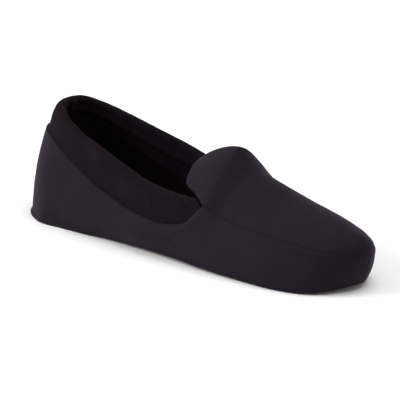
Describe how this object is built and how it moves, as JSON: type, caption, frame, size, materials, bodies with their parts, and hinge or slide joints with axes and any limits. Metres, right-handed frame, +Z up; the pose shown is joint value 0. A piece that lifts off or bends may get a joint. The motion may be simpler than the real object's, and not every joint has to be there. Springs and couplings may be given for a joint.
{
  "type": "moccasin slipper",
  "caption": "Soft slip-on moccasin slipper: hollow knit upper, apron with a rounded tab, rolled fleece collar cuff, cushion insole and thin soft sole.",
  "frame": {"origin": "on the floor, under the middle of the whole slipper's box", "axes": "+X along the foot towards the toe, +Y towards the inner side of the foot, +Z up"},
  "size_m": [0.2918, 0.0888, 0.085],
  "materials": {
    "knit": "smooth fine stretch knit, black with a faint purple cast, soft sheen",
    "fleece": "short brushed fleece, black, matt",
    "suede": "soft brushed sole, black-brown, matt",
    "lining": "brushed lining, black, matt"
  },
  "bodies": {
    "root": {"upper": "knit", "cuff": "fleece", "outsole": "suede", "insole": "lining"}
  },
  "joints": []
}
